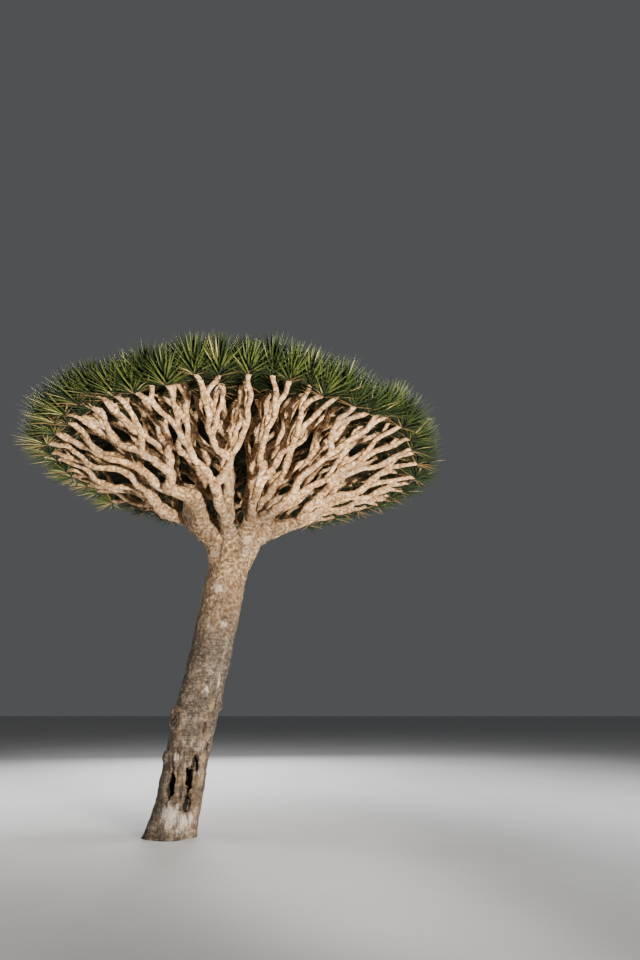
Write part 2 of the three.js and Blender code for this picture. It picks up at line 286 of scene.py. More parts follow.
def add_limb(sector, tufts, key, start, end, heading):
    """Adds a limb with small wavers and knobs. Returns the direction that it ends in."""
    length = np.linalg.norm(end - start)
    steps = max(FEWEST_STEPS, math.ceil(length / LIMB_STEP))
    share = np.linspace(0, 1, steps + 1)[:, None]
    line, onwards = limb_line(start, end, heading, tufts, share)
    side = unit(np.cross(end - start, UP))
    over = unit(np.cross(side, end - start))
    swing = WAVER * np.sin(math.pi * share)
    waves = length / WAVER_SPACING * share
    line = line + side * swing * np.sin(TURN * (waves + chance(key, WAVER_SIDEWAYS)))
    line = line + over * swing * np.sin(TURN * (waves * SLOWER_WAVER + chance(key, WAVER_UPWARDS)))
    share = share[:, 0]
    radii = mix(*LIMB_TAPER, share) * limb_radius(tufts)
    radii = radii * (1 + KNOBS * np.sin(TURN * (length / KNOB_SPACING * share + chance(key, FIRST_KNOB))))
    foot = HEAD_FOOT if start is FORK else limb_radius(tufts) * FORK_FOOT
    radii = np.hypot(radii, foot * (1 - share) ** 2)
    limbs.append(Limb(sector, tufts, key, line, radii))
    return onwards


def grow(patch, key, start, heading, sector):
    """Sends a limb towards a patch, and then one towards each half of it, down to patches of one rosette."""
    tufts = patch.tufts()
    if tufts <= LAST_TUFTS:
        end = patch.place(TUFT_PLACE)
        end[2] += TUFT_LIFT * swing_of(key, TUFT_HEIGHT)
        aim = add_limb(sector, tufts, key, start, end, heading)
        axis = unit(AXIS_ALONG * aim + AXIS_OUTWARDS * unit(end - FORK) + AXIS_UPRIGHT * UP)
        rosettes.append(Rosette(sector, key, end, axis, patch.outer))
        return
    end = limb_end(patch, key)
    onwards = add_limb(sector, tufts, key, start, end, heading)
    for index, half in enumerate(patch.halves(key)):
        grow(half, key * 2 + index, end, onwards, sector)


def grow_crown():
    for index, (sector, low, high, _, _) in enumerate(MAIN_BOUGHS):
        patch = Patch(math.radians(low), math.radians(high))
        patch.forks = math.log2(patch.tufts())
        key = FIRST_KEY + index
        heading = unit(unit(limb_end(patch, key) - FORK) + BOUGH_LIFTS.get(sector, BACK_LIFT) * UP)
        grow(patch, key, FORK, heading, sector)


# Meshes


class Shape:
    """Points and triangles that are gathered for one mesh, each triangle with a number for its material."""

    def __init__(self):
        self.points = []
        self.faces = []
        self.looks = []
        self.count = 0

    def add(self, points, faces, looks=None):
        self.points.append(points)
        self.faces.append(faces + self.count)
        self.looks.append(np.zeros(len(faces)) if looks is None else looks)
        self.count += len(points)

    def mesh(self, name):
        points = np.concatenate(self.points)
        return mesh_of(name, points, np.concatenate(self.faces), np.concatenate(self.looks))


def mesh_of(name, points, faces, looks):
    mesh = bpy.data.meshes.new(name)
    sides = faces.shape[1]
    mesh.vertices.add(len(points))
    mesh.vertices.foreach_set("co", points.astype(np.float32).ravel())
    mesh.loops.add(faces.size)
    mesh.loops.foreach_set("vertex_index", faces.astype(np.int32).ravel())
    mesh.polygons.add(len(faces))
    mesh.polygons.foreach_set("loop_start", np.arange(0, faces.size, sides, dtype=np.int32))
    mesh.polygons.foreach_set("material_index", looks.astype(np.int32))
    mesh.update(calc_edges=True)
    return mesh


def read_mesh(mesh):
    """A mesh's points, their normals and its four-sided faces."""
    points = np.empty(len(mesh.vertices) * 3, np.float32)
    mesh.vertices.foreach_get("co", points)
    normals = np.empty(len(mesh.vertices) * 3, np.float32)
    mesh.vertex_normals.foreach_get("vector", normals)
    corners = np.empty(len(mesh.loops), np.int32)
    mesh.loops.foreach_get("vertex_index", corners)
    return points.reshape(-1, 3), normals.reshape(-1, 3), corners.reshape(-1, 4)


def object_of(mesh):
    made = bpy.data.objects.new(mesh.name, mesh)
    bpy.context.scene.collection.objects.link(made)
    return made


def applied(made, name):
    """The mesh that an object's modifiers give. The object goes."""
    seen = made.evaluated_get(bpy.context.evaluated_depsgraph_get())
    mesh = bpy.data.meshes.new_from_object(seen)
    mesh.name = name
    bpy.data.objects.remove(made)
    return mesh


def ring_faces(rings, sides):
    """Triangles between rings of points that follow one another, closed by a point at each end."""
    ring = np.arange(rings - 1)[:, None] * sides
    corner = np.arange(sides)[None, :]
    onward = (corner + 1) % sides
    a, b = ring + corner, ring + onward
    walls = [np.stack([a, b, b + sides], -1), np.stack([a, b + sides, a + sides], -1)]
    faces = [wall.reshape(-1, 3) for wall in walls]
    first, last = rings * sides, rings * sides + 1
    corner, onward = corner[0], onward[0]
    faces.append(np.stack([onward, corner, np.full(sides, first)], -1))
    top = (rings - 1) * sides
    faces.append(np.stack([corner + top, onward + top, np.full(sides, last)], -1))
    return np.concatenate(faces)


# The height of a direction of length 1 that is nearly upright
NEARLY_UPRIGHT = 0.9
# How high the point on a tube's end is, as a share of its radius
TUBE_POINT = 0.6


def tube(line, radii, sides):
    """A closed tube along a line, with a low point on each end."""
    ahead = np.gradient(line, axis=0)
    ahead /= np.linalg.norm(ahead, axis=1)[:, None]
    side = unit(np.cross(ahead[0], UP if abs(ahead[0][2]) < NEARLY_UPRIGHT else np.array([1, 0, 0])))
    angles = np.arange(sides) * TURN / sides
    points = []
    for place, forward, radius in zip(line, ahead, radii):
        side = unit(side - forward * np.dot(side, forward))
        over = np.cross(forward, side)
        points.append(place + radius * (np.cos(angles)[:, None] * side + np.sin(angles)[:, None] * over))
    points.append([line[0] - ahead[0] * radii[0] * TUBE_POINT])
    points.append([line[-1] + ahead[-1] * radii[-1] * TUBE_POINT])
    return np.concatenate(points), ring_faces(len(line), sides)


def ball(middle, radius, sides, rings):
    """A ball as a tube along its own upright axis."""
    lift = np.cos(np.linspace(math.pi, 0, rings + 2)[1:-1])
    line = middle + np.outer(lift * radius, UP)
    points, faces = tube(line, radius * np.sqrt(1 - lift**2), sides)
    points[-2:] = [middle - UP * radius, middle + UP * radius]
    return points, faces


# The trunk

TRUNK_SIDES = 48
TRUNK_STEP = 0.04
# The trunk's form starts a little under the ground, where it is later cut flat
UNDER_GROUND = 0.05
# The trunk ends between the feet of the boughs in a dome, which would close a little above TRUNK_TOP
DOME_START = 3.05
DOME_END = 0.02
DOME_POWER = 2.5
# Each main bough has a root that rises inside the trunk: its lower end, where it is level with the surface,
# and how far from the fork it joins the bough, in which share of the bough's radius
ROOT_START = 2.5
ROOT_RADIUS = 0.08
ROOT_FLUSH = 3.16
ROOT_JOIN = 0.26
ROOT_SHARE = 0.92
ROOT_RINGS = 9


def trunk_middle(height):
    """The middle of the trunk's level section at a height, on a smooth curve."""
    slopes = np.gradient(TRUNK_LEAN, TRUNK_HEIGHTS)
    i = min(int(np.searchsorted(TRUNK_HEIGHTS, height, "right")) - 1, len(TRUNK_HEIGHTS) - 2)
    span = TRUNK_HEIGHTS[i + 1] - TRUNK_HEIGHTS[i]
    t = (height - TRUNK_HEIGHTS[i]) / span
    x = (2 * t**3 - 3 * t**2 + 1) * TRUNK_LEAN[i] + (3 * t**2 - 2 * t**3) * TRUNK_LEAN[i + 1]
    x += span * ((t**3 - 2 * t**2 + t) * slopes[i] + (t**3 - t**2) * slopes[i + 1])
    return np.array([x, 0, height])


def trunk_radius(height, angle):
    side = FLARE_SIDE_SHARE * np.cos(angle - FLARE_SIDE)
    lobes = 1 + side + FLARE_LOBE_SHARE * np.cos(FLARE_LOBES * angle + FLARE_LOBE_TURN)
    flare = FLARE_RADIUS * math.exp(-height / FLARE_FADE) * lobes
    head = max(0, (height - HEAD_START) / (TRUNK_TOP - HEAD_START))
    shoulder = max(0, (height - SHOULDER_HEIGHT) / (TRUNK_TOP - SHOULDER_HEIGHT))
    return (TRUNK_RADIUS + flare + HEAD_SWELL * head**HEAD_POWER) * (1 - SHOULDER_DRAW_IN * shoulder**2)


def on_trunk(degrees, height, sunk=0):
    """A place on the trunk's surface, the direction out of it and the level direction along it."""
    angle = math.radians(degrees)
    out = np.array([math.cos(angle), math.sin(angle), 0])
    along = np.array([-math.sin(angle), math.cos(angle), 0])
    return trunk_middle(height) + out * (trunk_radius(height, angle) - sunk), out, along


def trunk_form():
    """The trunk's smooth form. It keeps its width in the head, where the roots of the boughs swell it."""
    angles = np.arange(TRUNK_SIDES) * TURN / TRUNK_SIDES
    spread = np.stack([np.cos(angles), np.sin(angles), np.zeros(TRUNK_SIDES)], -1)
    heights = np.append(np.arange(-UNDER_GROUND, TRUNK_TOP, TRUNK_STEP), TRUNK_TOP)
    points = []
    for height in heights:
        dome = max(0, (height - DOME_START) / (TRUNK_TOP + DOME_END - DOME_START))
        radius = trunk_radius(min(max(height, 0), HEAD_START), angles) * math.sqrt(1 - dome**DOME_POWER)
        points.append(trunk_middle(max(height, 0)) * [1, 1, 0] + height * UP + spread * radius[:, None])
    points.append([heights[0] * UP])
    points.append([trunk_middle(TRUNK_TOP)])
    return np.concatenate(points), ring_faces(len(heights), TRUNK_SIDES)


def bough_root(limb):
    """A tube from the trunk's core into a main bough, which makes the trunk's head swell below the fork."""
    joined = next(i for i, place in enumerate(limb.line) if np.linalg.norm(place - FORK) > ROOT_JOIN)
    out = unit((limb.line[-1] - FORK) * [1, 1, 0])
    foot = limb.radii[joined] * ROOT_SHARE
    flush = trunk_middle(ROOT_FLUSH) + out * (TRUNK_RADIUS - (ROOT_RADIUS + foot) / 2)
    share = np.linspace(0, 1, ROOT_RINGS)[:, None]
    line = bent_line(share, trunk_middle(ROOT_START), flush, limb.line[joined])
    return line, np.linspace(ROOT_RADIUS, foot, ROOT_RINGS)


# The wood's skin

# Burls that swell from the trunk: azimuth in degrees, height, across, tall and how far they stand out
BURLS = [
    (229, 1.28, 0.22, 0.30, 0.075),
    (210, 0.86, 0.14, 0.18, 0.05),
    (20, 1.45, 0.13, 0.18, 0.05),
    (120, 1.85, 0.14, 0.18, 0.06),
    (60, 0.75, 0.16, 0.20, 0.06),
]
BURL_SUNK = 0.02
EGG_SIDES = 24
EGG_RINGS = 15
# How much wider, taller and deeper than the source's the hollows are before their edges melt
HOLLOW_GROWN = [1.15, 1.15, 1.4]
# How far the lobes of a ragged hollow stand out, how fine they are, and how their noise moves on with height
HOLLOW_RAGGED = 0.3
LOBE_SCALE = 1.6
LOBE_SHIFT = 7
LIMB_SIDES = 16
# A ball at each fork closes the gaps between the limbs there
KNOT_SHARE = 1.04
KNOT_SIDES = 12
KNOT_RINGS = 5
# Rungs join limbs that have grown together, with a share of the first limb's radius
RUNG_RINGS = 4
RUNG_SHARE = 0.8
VOXEL = 0.012
SOFTNESS = 0.5
SMOOTHINGS = 9

# How deep the bark's relief goes on the trunk and how fine it is, and the share of it that the limbs keep
LUMPS = 0.011
LUMP_SCALE = 4.2
KNUCKLES = 0.006
KNUCKLE_SCALE = 13
CREASES = 0.004
CREASE_SCALE = Vector((11, 11, 38))
PITS = 0.009
PIT_SCALE = 17
PIT_REACH = 0.34
LIMB_SHARE = 0.8
# The relief gets weaker from this height on, and reaches that share after this rise
LIMB_RELIEF_START = 3.0
LIMB_RELIEF_RISE = 0.7
# The rotted side of the trunk: azimuth in degrees, height, across and tall
ROT = (288, 0.66, 0.62, 0.95)
# How rough it is, how fine that is, how soon it is rough inside its edge, and how far it is sunk on the whole
ROT_ROUGHNESS = 0.040
ROT_SCALE = Vector((15, 15, 8))
ROT_EDGE = 2.5
ROT_SUNK = 0.15
# Fractal noise of each kind: its increment, lacunarity and octaves
LUMP_NOISE = (0.9, 2.1, 3)
ROT_NOISE = (0.7, 2.2, 3)
LOBE_NOISE = (0.8, 2.2, 3)
# The old scar on the first burl: its raised rim, its sunken middle and the rings in that
SCAR_RIM = 0.098
SCAR_RIM_LIFT = 0.030
SCAR_RIM_WIDTH = 0.024
SCAR_TALL = 1.3
SCAR_SINK = 0.022
SCAR_CORE = 0.055
SCAR_RING_SPACING = 0.034
SCAR_RING_SHARE = 0.8
# How deep a spot on the trunk reaches
SPOT_DEPTH = 0.2


def egg(degrees, height, across, tall, deep, sunk=0, ragged=0):
    """An egg on the trunk's surface. deep is its half size inwards, and the other two are whole sizes. A
    ragged one has lobes and dents."""
    middle, out, along = on_trunk(degrees, height, sunk)
    points, faces = ball(np.zeros(3), 1, EGG_SIDES, EGG_RINGS)
    if ragged:
        shift = Vector((degrees, height * LOBE_SHIFT, 0))
        lobes = [noise.fractal(Vector(point) * LOBE_SCALE + shift, *LOBE_NOISE) for point in points]
        points = points * (1 + ragged * np.array(lobes))[:, None]
    sized = points * [deep, across / 2, tall / 2]
    return middle + sized[:, :1] * out + sized[:, 1:2] * along + sized[:, 2:] * UP, faces


def rungs():
    """Short tubes across two limbs that have grown together, which melt into one flat limb."""
    for *keys, share in GROWN_TOGETHER:
        one, other = (next(limb for limb in limbs if limb.key == key) for key in keys)
        grown = math.ceil(share * min(len(one.line), len(other.line)))
        for here, there, radius in zip(one.line[:grown], other.line[:grown], one.radii):
            yield np.linspace(here, there, RUNG_RINGS), np.full(RUNG_RINGS, radius * RUNG_SHARE)


def bored_trunk():
    """The trunk's smooth form with the hollows cut out."""
    trunk = Shape()
    trunk.add(*trunk_form())
    hollows = Shape()
    for degrees, height, across, tall, deep in HOLLOWS:
        sizes = np.array([across, tall, deep]) * HOLLOW_GROWN
        hollows.add(*egg(degrees, height, *sizes, ragged=HOLLOW_RAGGED))
    cutter = object_of(hollows.mesh("hollows"))
    bored = object_of(trunk.mesh("bored"))
    cut = bored.modifiers.new("cut", "BOOLEAN")
    cut.operation = "DIFFERENCE"
    cut.object = cutter
    cut.use_self = True
    core = applied(bored, "core")
    bpy.data.objects.remove(cutter)
    return core


def limb_forms():
    """The burls and the thick limbs as closed forms that overlap the trunk and one another."""
    wood = Shape()
    for burl in BURLS:
        wood.add(*egg(*burl, sunk=BURL_SUNK))
    for limb in limbs:
        if limb.tufts >= FUSED_TUFTS:
            wood.add(*tube(limb.line, limb.radii, LIMB_SIDES))
            wood.add(*ball(limb.line[-1], limb.radii[-1] * KNOT_SHARE, KNOT_SIDES, KNOT_RINGS))
        if np.allclose(limb.line[0], FORK):
            wood.add(*tube(*bough_root(limb), LIMB_SIDES))
    for line, radii in rungs():
        wood.add(*tube(line, radii, LIMB_SIDES))
    return wood.mesh("wood")


def melted(*meshes):
    """One soft skin round meshes that overlap."""
    both = bmesh.new()
    for mesh in meshes:
        both.from_mesh(mesh)
    together = bpy.data.meshes.new("together")
    both.to_mesh(together)
    both.free()
    joined = object_of(together)
    melt = joined.modifiers.new("melt", "REMESH")
    melt.mode = "VOXEL"
    melt.voxel_size = VOXEL
    soften = joined.modifiers.new("soften", "SMOOTH")
    soften.factor = SOFTNESS
    soften.iterations = SMOOTHINGS
    return applied(joined, "melted")


def nearness(points, spot, grown=0):
    """1 at the middle of a spot on the trunk, 0 at its edge and lower outside. grown widens the spot."""
    degrees, height, across, tall = spot[:4]
    middle, out, along = on_trunk(degrees, height)
    away = points - middle
    sideways = away @ along * 2 / (across + grown)
    upwards = away[:, 2] * 2 / (tall + grown)
    inwards = away @ out / SPOT_DEPTH
    return 1 - np.sqrt(sideways**2 + upwards**2 + inwards**2)


def bark_relief(point, rotted):
    """How far the bark stands out at a point."""
    place = Vector(point)
    thinner = min(max((point[2] - LIMB_RELIEF_START) / LIMB_RELIEF_RISE, 0), 1)
    strength = mix(1, LIMB_SHARE, thinner)
    lump = LUMPS * noise.fractal(place * LUMP_SCALE, *LUMP_NOISE)
    knuckle = KNUCKLES * noise.noise(place * KNUCKLE_SCALE)
    crease = CREASES * noise.noise(place * CREASE_SCALE)
    near = noise.voronoi(place * PIT_SCALE)[0][0]
    pit = PITS * max(0, PIT_REACH - near) / PIT_REACH
    rough = 0
    if rotted > 0:
        torn = noise.fractal(place * ROT_SCALE, *ROT_NOISE) - ROT_SUNK
        rough = ROT_ROUGHNESS * min(1, rotted * ROT_EDGE) * torn
    return strength * (lump + knuckle + crease - pit) + rough


def scar_relief(points):
    """The burl that shows is an old scar with a raised rim and a sunken middle."""
    middle, out, along = on_trunk(*BURLS[0][:2])
    away = points - middle
    apart = np.hypot(away @ along, away[:, 2] / SCAR_TALL)
    near = np.abs(away @ out) < SPOT_DEPTH
    rim = SCAR_RIM_LIFT * np.exp(-(((apart - SCAR_RIM) / SCAR_RIM_WIDTH) ** 2))
    rings = 1 + SCAR_RING_SHARE * np.cos(apart * TURN / SCAR_RING_SPACING)
    core = SCAR_SINK * np.exp(-((apart / SCAR_CORE) ** 2)) * rings
    return np.where(near, rim - core, 0)


def wood_skin():
    """Points, normals and faces of trunk and thick limbs with their relief, cut flat at the ground."""
    mesh = melted(bored_trunk(), limb_forms())
    points, normals, faces = read_mesh(mesh)
    points = points.astype(float)
    rotted = nearness(points, ROT)
    lift = np.array([bark_relief(point, share) for point, share in zip(points, rotted)])
    lift += scar_relief(points)
    points += normals * lift[:, None]
    points[:, 2] = np.maximum(points[:, 2], 0)
    bpy.data.meshes.remove(mesh)
    whole = mesh_of("whole", points, faces, np.zeros(len(faces)))
    points, normals, faces = read_mesh(whole)
    bpy.data.meshes.remove(whole)
    return points, normals, faces


# Materials


class Look:
    """A material and a short way to add nodes to it."""

    def __init__(self, name):
        self.material = bpy.data.materials.new(name)
        self.material.use_nodes = True
        self.nodes = self.material.node_tree.nodes
        self.links = self.material.node_tree.links
        self.shader = self.nodes["Principled BSDF"]
        self.place = self.add("TexCoord").outputs["Object"]

    def add(self, kind, _settings=None, **inputs):
        node = self.nodes.new("ShaderNode" + kind)
        for name, value in (_settings or {}).items():
            setattr(node, name, value)
        for name, value in inputs.items():
            self.join(node.inputs[name.replace("_", " ")], value)
        return node

    def join(self, socket, value):
        if isinstance(value, bpy.types.NodeSocket):
            self.links.new(value, socket)
        else:
            socket.default_value = value

    def stretched(self, shape):
        """A point's place with a factor for each axis, for noise that is longer one way."""
        return self.add("Mapping", Vector=self.place, Scale=shape).outputs["Vector"]

    def noise(self, scale=1.0, detail=4, roughness=0.55, place=None):
        node = self.add("TexNoise", Vector=place or self.place, Scale=scale, Detail=detail)
        node.inputs["Roughness"].default_value = roughness
        return node.outputs["Fac"]

    def ramp(self, factor, *stops):
        node = self.add("ValToRGB", Fac=factor)
        elements = node.color_ramp.elements
        for stop, (position, colour) in zip([elements[0], elements[1]], [stops[0], stops[-1]]):
            stop.position = position
            stop.color = (*colour, 1)
        for position, colour in stops[1:-1]:
            elements.new(position).color = (*colour, 1)
        return node.outputs["Color"]

    def step(self, factor, low, high):
        """0 below low, 1 above high, and smooth between."""
        node = self.add("MapRange", {"interpolation_type": "SMOOTHSTEP"}, Value=factor)
        node.inputs["From Min"].default_value = low
        node.inputs["From Max"].default_value = high
        return node.outputs["Result"]

    def blend(self, share, under, over, kind="MIX"):
        """Two colours in one. The numbers are the node's sockets for its share and its colours."""
        node = self.add("Mix", {"data_type": "RGBA", "blend_type": kind})
        for number, value in ((0, share), (6, under), (7, over)):
            self.join(node.inputs[number], value)
        return node.outputs[2]

    def painted(self, share, under, paint):
        return self.blend(share, under, (*paint, 1))

    def shaded(self, under, shade):
        return self.blend(1.0, under, shade, "MULTIPLY")

    def maths(self, operation, one, other):
        node = self.add("Math", {"operation": operation})
        self.join(node.inputs[0], one)
        self.join(node.inputs[1], other)
        return node.outputs[0]

    def times(self, one, other):
        return self.maths("MULTIPLY", one, other)

    def plus(self, one, other):
        return self.maths("ADD", one, other)

    def minus(self, one, other):
        return self.maths("SUBTRACT", one, other)

    def bump(self, height, strength, distance, under=None):
        node = self.add("Bump", Height=height, Strength=strength, Distance=distance)
        if under:
            self.join(node.inputs["Normal"], under)
        return node.outputs["Normal"]


# Shares that are kept at the bark's points and read by its material
MASKS = ("warmth", "rot_and_painted_shade", "sunk_dark_patches", "lichen", "ochre")

DARK_BARK = (0.018, 0.014, 0.010)
MIDDLE_BARK = (0.052, 0.040, 0.030)
PALE_BARK = (0.142, 0.113, 0.084)
DARK_LIMB = (0.090, 0.042, 0.017)
MIDDLE_LIMB = (0.345, 0.200, 0.092)
PALE_LIMB = (0.860, 0.620, 0.350)
WHITISH = (0.480, 0.410, 0.340)
OCHRE = (0.280, 0.188, 0.096)
RUST = (0.235, 0.130, 0.062)
# Near-black rotten wood in the hollows, which is also painted shade where their floors would be lit
ROT_AND_PAINTED_SHADE = (0.007, 0.005, 0.0035)
SPECK = (0.045, 0.032, 0.023)
# Factors for the bark's colour: painted shade in the creases of its wrinkles and painted light on their
# ridges
WRINKLE_PAINTED_SHADE = (0.72, 0.70, 0.68)
WRINKLE_PAINTED_LIGHT = (1.15, 1.14, 1.12)
# Factors for wide patches of light and shade in the bark's own colour
WIDE_SHADE = (0.76, 0.73, 0.70)
WIDE_LIGHT = (1.18, 1.16, 1.13)
# How dense the bark's patterns are along x, y and z: dark streaks that are longer than they are wide, the
# grain at the edges of coloured spots, and fine wrinkles that run round the trunk
STREAK_SHAPE = (5.5, 5.5, 1.3)
SPOT_SHAPE = (17, 17, 6)
RING_SHAPE = (5, 5, 75)
# How far a coloured spot's mask raises its grain, and how strongly each kind of spot covers at most
SPOT_RISE = 0.32
OCHRE_MOST = 0.35
LICHEN_MOST = 0.52
# How strongly a dark speck covers at most, and how far a mask raises the noise of the sunk dark patches
SPECK_MOST = 0.75
SUNK_DARK_RISE = 0.16
# How strongly streaks and pale patches cover on the trunk, and how much more on the limbs
RUST_ON_TRUNK = 0.13
RUST_MORE = 0.15
PALE_ON_TRUNK = 0.13
PALE_MORE = 0.35
# How strong the bump of the trunk's wrinkles is, which fades out towards the limbs
WRINKLE_BUMP = 0.7
BARK_ROUGHNESS = (0.75, 0.98)
BARK_SPECULAR = 0.2


def bark_tones(look, warmth, fine, rings):
    """The grey bark of the trunk and the warm one of the limbs, with streaks, pale patches and shade."""
    old = look.ramp(fine, (0.34, DARK_BARK), (0.5, MIDDLE_BARK), (0.66, PALE_BARK))
    # Painted shade in the wrinkles' creases and painted light on their ridges, where the bump sinks and
    # raises them
    old = look.shaded(old, look.ramp(rings, (0.42, WRINKLE_PAINTED_SHADE), (0.6, WRINKLE_PAINTED_LIGHT)))
    young = look.ramp(fine, (0.36, DARK_LIMB), (0.5, MIDDLE_LIMB), (0.65, PALE_LIMB))
    colour = look.blend(warmth, old, young)
    long_noise = look.noise(detail=5, roughness=0.6, place=look.stretched(STREAK_SHAPE))
    streaks = look.step(long_noise, low=0.5, high=0.64)
    rusty = look.plus(look.times(warmth, RUST_MORE), RUST_ON_TRUNK)
    colour = look.painted(look.times(streaks, rusty), colour, RUST)
    patches = look.step(look.noise(scale=6.5, detail=7, roughness=0.75), low=0.53, high=0.62)
    pale = look.plus(look.times(warmth, PALE_MORE), PALE_ON_TRUNK)
    colour = look.painted(look.times(patches, pale), colour, WHITISH)
    wide = look.noise(scale=3.1, detail=5, roughness=0.6)
    return look.shaded(colour, look.ramp(wide, (0.36, WIDE_SHADE), (0.64, WIDE_LIGHT)))


def spotted(look, masks, colour):
    """Ochre and lichen spots with ragged edges."""
    grain = look.noise(detail=8, roughness=0.85, place=look.stretched(SPOT_SHAPE))
    for name, paint, most in (("ochre", OCHRE, OCHRE_MOST), ("lichen", WHITISH, LICHEN_MOST)):
        raised = look.plus(look.times(masks[name], SPOT_RISE), grain)
        colour = look.painted(look.times(look.step(raised, low=0.62, high=0.78), most), colour, paint)
    return colour


def bark_look():
    look = Look("bark")
    masks = {name: look.add("Attribute", {"attribute_name": name}).outputs["Fac"] for name in MASKS}
    fine = look.noise(scale=24, detail=7, roughness=0.7)
    rings = look.noise(detail=4, roughness=0.65, place=look.stretched(RING_SHAPE))
    colour = spotted(look, masks, bark_tones(look, masks["warmth"], fine, rings))

    specks = look.step(look.noise(scale=58, detail=3, roughness=0.7), low=0.6, high=0.68)
    # Dark patches, also sunk by the bump below, that are more common on the rotted side and the scar
    sunk_dark_noise = look.plus(look.times(masks["sunk_dark_patches"], SUNK_DARK_RISE), look.noise(scale=17, detail=6, roughness=0.8))
    sunk_dark = look.step(sunk_dark_noise, low=0.64, high=0.72)
    dark = look.maths("MAXIMUM", look.times(specks, SPECK_MOST), sunk_dark)
    colour = look.painted(dark, colour, SPECK)
    # Near-black in the hollows: dark rotten wood with painted shade
    rot_and_shade = look.plus(masks["rot_and_painted_shade"], look.noise(scale=30, detail=4, roughness=0.7))
    colour = look.painted(look.step(rot_and_shade, low=0.95, high=1.2), colour, ROT_AND_PAINTED_SHADE)
    look.join(look.shader.inputs["Base Color"], colour)

    dull = look.add("MapRange", Value=fine)
    dull.inputs["To Min"].default_value, dull.inputs["To Max"].default_value = BARK_ROUGHNESS
    look.join(look.shader.inputs["Roughness"], dull.outputs["Result"])
    look.shader.inputs["Specular IOR Level"].default_value = BARK_SPECULAR

    wrinkled = look.minus(WRINKLE_BUMP, look.times(masks["warmth"], WRINKLE_BUMP))
    bumped = look.bump(rings, strength=wrinkled, distance=0.008)
    grain = look.noise(scale=48, detail=6, roughness=0.7)
    bumped = look.bump(grain, strength=0.7, distance=0.014, under=bumped)
    bumped = look.bump(look.minus(1.0, dark), strength=0.5, distance=0.010, under=bumped)
    look.join(look.shader.inputs["Normal"], bumped)
    return look.material


# How much darker and lighter than its own colour a leaf's streaks are
LEAF_STREAKS = (0.78, 1.2)
LEAF_ROUGHNESS = 0.5
LEAF_SPECULAR = 0.28


def leaf_look(name, colour):
    look = Look(name)
    low, high = (tuple(value * factor for value in colour) for factor in LEAF_STREAKS)
    streaks = look.noise(scale=34, detail=3, roughness=0.5)
    look.join(look.shader.inputs["Base Color"], look.ramp(streaks, (0.35, low), (0.65, high)))
    look.shader.inputs["Roughness"].default_value = LEAF_ROUGHNESS
    look.shader.inputs["Specular IOR Level"].default_value = LEAF_SPECULAR
    fibres = look.noise(scale=120, detail=2, roughness=0.5)
    look.join(look.shader.inputs["Normal"], look.bump(fibres, strength=0.25, distance=0.004))
    return look.material


BARK = bark_look()
LEAF_LOOKS = [
    leaf_look("fresh leaf", (0.024, 0.039, 0.007)),
    # The fresh leaf made lighter, as painted light
    leaf_look("painted light leaf", (0.060, 0.077, 0.015)),
    leaf_look("yellow leaf", (0.260, 0.230, 0.085)),
    # Near-black green, as painted shade
    leaf_look("painted shade leaf", (0.011, 0.019, 0.006)),
    leaf_look("dry leaf", (0.160, 0.095, 0.040)),
]
FRESH, PAINTED_LIGHT_LEAF, YELLOW, PAINTED_SHADE_LEAF, DRY = range(len(LEAF_LOOKS))


# Pieces


def piece(mesh, looks, nodes, smooth):
    """A visible piece that takes the place of some of the solids."""
    for look in looks:
        mesh.materials.append(look)
    mesh.polygons.foreach_set("use_smooth", np.full(len(mesh.polygons), smooth))
    made = object_of(mesh)
    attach(made, "root")
    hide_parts(*nodes)
    return made


def sector_of(node):
    """The sector in a node's name, such as low_right in foliage_low_right_a_b."""
    words = node.split("_")[1:]
    while words and words[-1] in ("a", "b"):
        words.pop()
    return "_".join(words)


def nodes_of(kind, sectors):
    """The solids of one kind, bough or foliage, in some sectors."""
    return [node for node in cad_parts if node.startswith(kind) and sector_of(node) in sectors]


# The thick limbs' skin is shown in groups of neighbouring sectors, to keep each piece small
BOUGH_GROUPS = {
    "boughs_left": ["left"],
    "boughs_front": ["front", "front_right", "right"],
    "boughs_right": ["low_right", "back_right"],
    "boughs_back": ["back_left"],
}
# All below the first height belongs to the trunk, and up to the second what is near its middle
TRUNK_ALONE = 3.2
TRUNK_HEAD = 3.36
TRUNK_HEAD_REACH = 0.42

# Coloured spots on the trunk: azimuth in degrees, height, across and tall
LICHEN_SPOTS = [
    (253, 0.86, 0.12, 0.16),
    (264, 0.24, 0.42, 0.48),
    (298, 0.18, 0.24, 0.36),
    (318, 0.22, 0.14, 0.28),
    (292, 1.62, 0.10, 0.16),
    (322, 1.72, 0.08, 0.34),
    (300, 2.41, 0.08, 0.10),
    (262, 2.85, 0.16, 0.20),
    (150, 0.60, 0.20, 0.40),
    (80, 1.20, 0.18, 0.30),
    (20, 2.20, 0.16, 0.26),
]
OCHRE_SPOTS = [
    (332, 0.60, 0.15, 0.24),
    (326, 1.08, 0.12, 0.16),
    (326, 0.84, 0.14, 0.26),
    (283, 0.66, 0.10, 0.30),
    (262, 0.64, 0.08, 0.26),
    (318, 1.42, 0.12, 0.30),
]
SPOT_EDGE = 0.05
# How much the depth inwards counts in a hollow, and how far its dark rot and painted shade reach past its
# edge
HOLLOW_INWARDS = 0.35
HOLLOW_DARK = 1.5
# The bark gets a little warmer between two heights on the trunk, and warm between two distances from the fork
TRUNK_WARMTH = 0.35
TRUNK_WARMER = (2.0, 3.3)
LIMBS_WARMER = (0.25, 1.5)
LIMB_WARMTH_HEIGHT = 3.1


